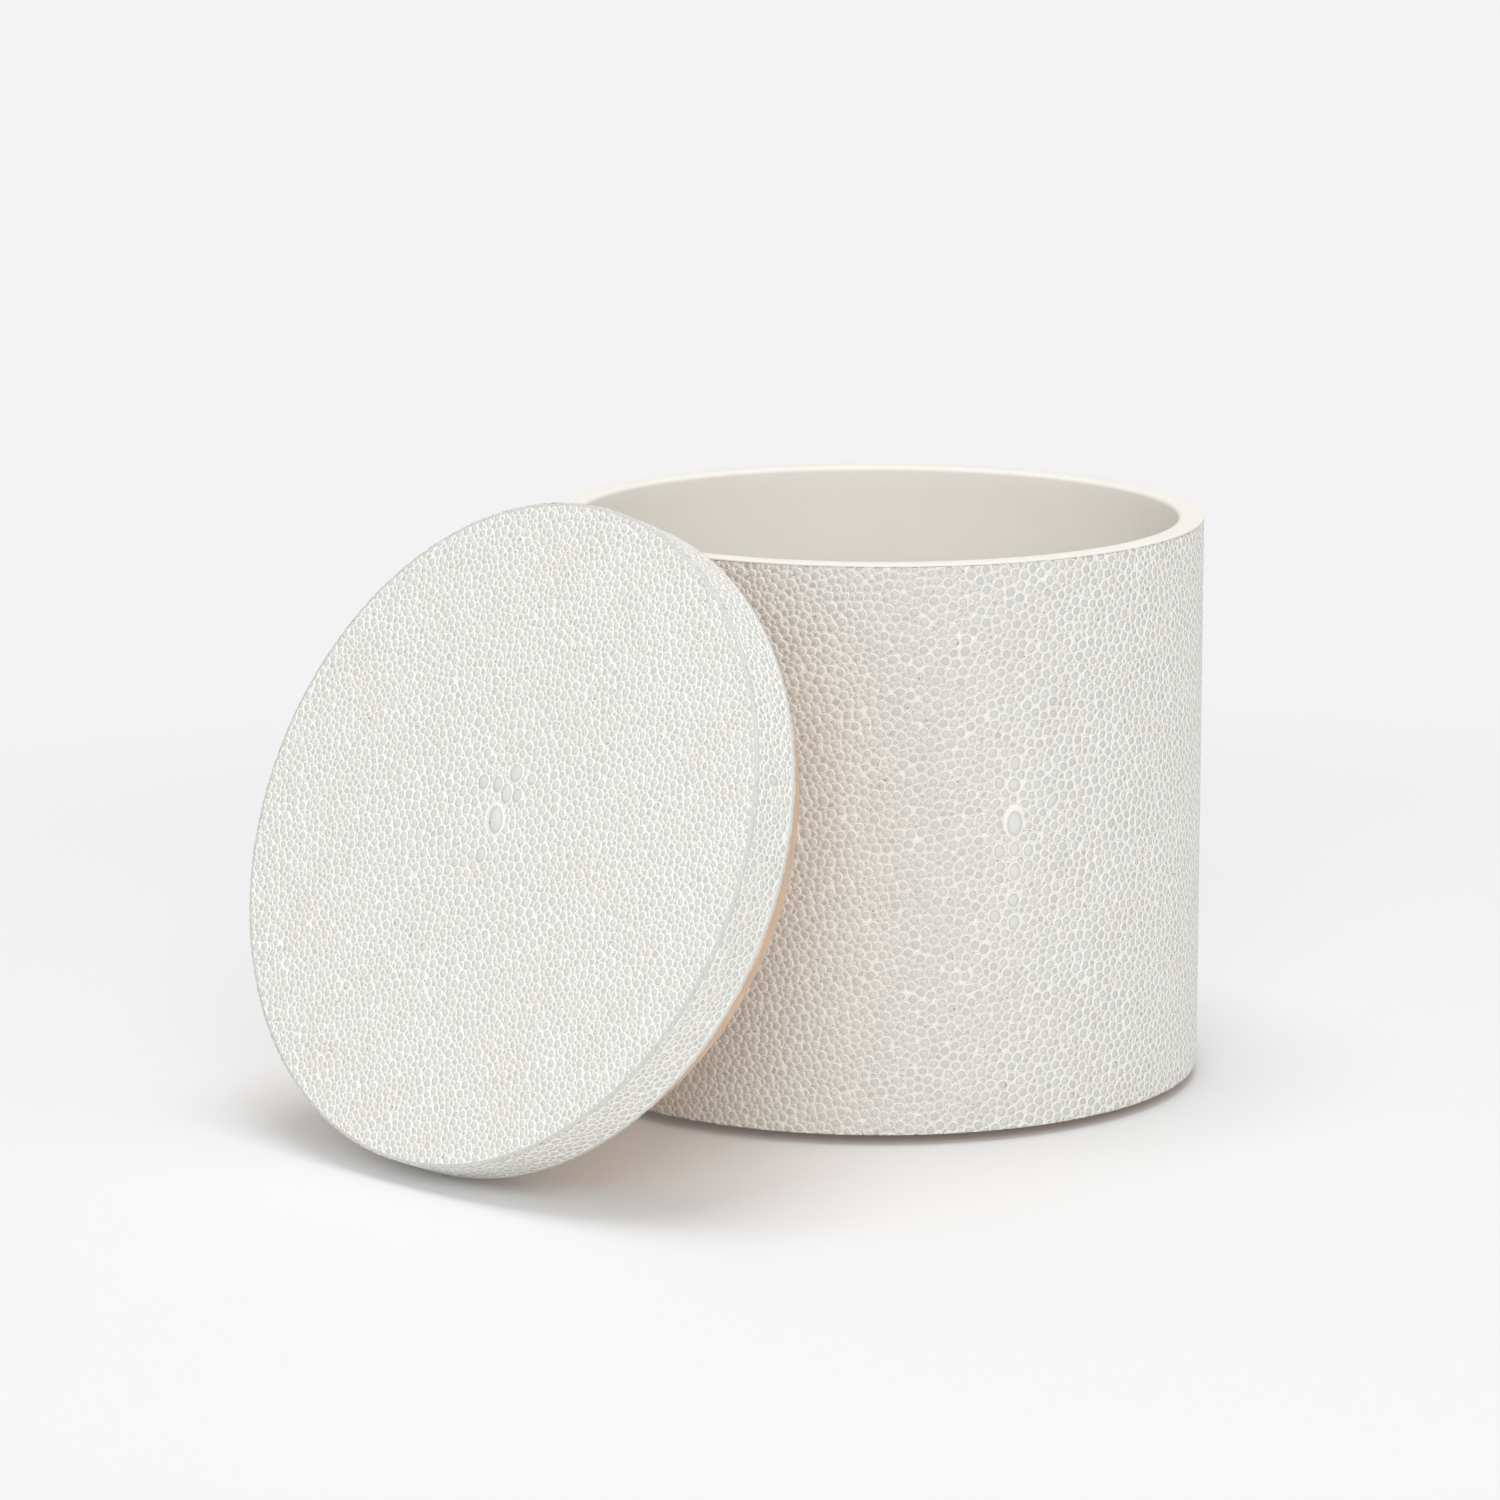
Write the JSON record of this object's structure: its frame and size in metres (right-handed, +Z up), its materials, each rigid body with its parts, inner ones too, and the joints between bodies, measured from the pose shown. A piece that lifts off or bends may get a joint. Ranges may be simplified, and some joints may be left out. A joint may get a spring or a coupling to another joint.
{
  "type": "lidded canister",
  "caption": "Round straight-sided canister wrapped in moulded shagreen sheet, with a smooth rim and a lift-off lid that leans against its side.",
  "frame": {"origin": "centre of the base pad's underside, on the surface that the canister stands on", "axes": "+Z up along the canister's axis; the lid leans on the -Y side of the wall, and its face looks towards -Y and up; +X is to the right of someone who looks at the lid's face"},
  "size_m": [0.127, 0.1913, 0.121],
  "materials": {
    "shagreen": "off-white cast resin sheet with raised grey-topped scales, soft satin",
    "cream_lacquer": "smooth cream lacquer over wood, satin",
    "tan_wood": "bare turned light wood, matte",
    "dark_felt": "dark felt, matte"
  },
  "bodies": {
    "canister": {"base_pad": "dark_felt", "cup_floor": "cream_lacquer", "cup_wall": "cream_lacquer", "rim_ring": "cream_lacquer", "body_skin": "shagreen"},
    "lid": {"lid_board": "tan_wood", "lid_face_skin": "shagreen", "lid_band_skin": "shagreen", "lid_plug": "tan_wood"}
  },
  "joints": [
    {"name": "lid_lift", "type": "slide", "parent": "canister", "child": "lid", "axis": [0, 0, 1], "range_m": [0, 0.15]}
  ]
}
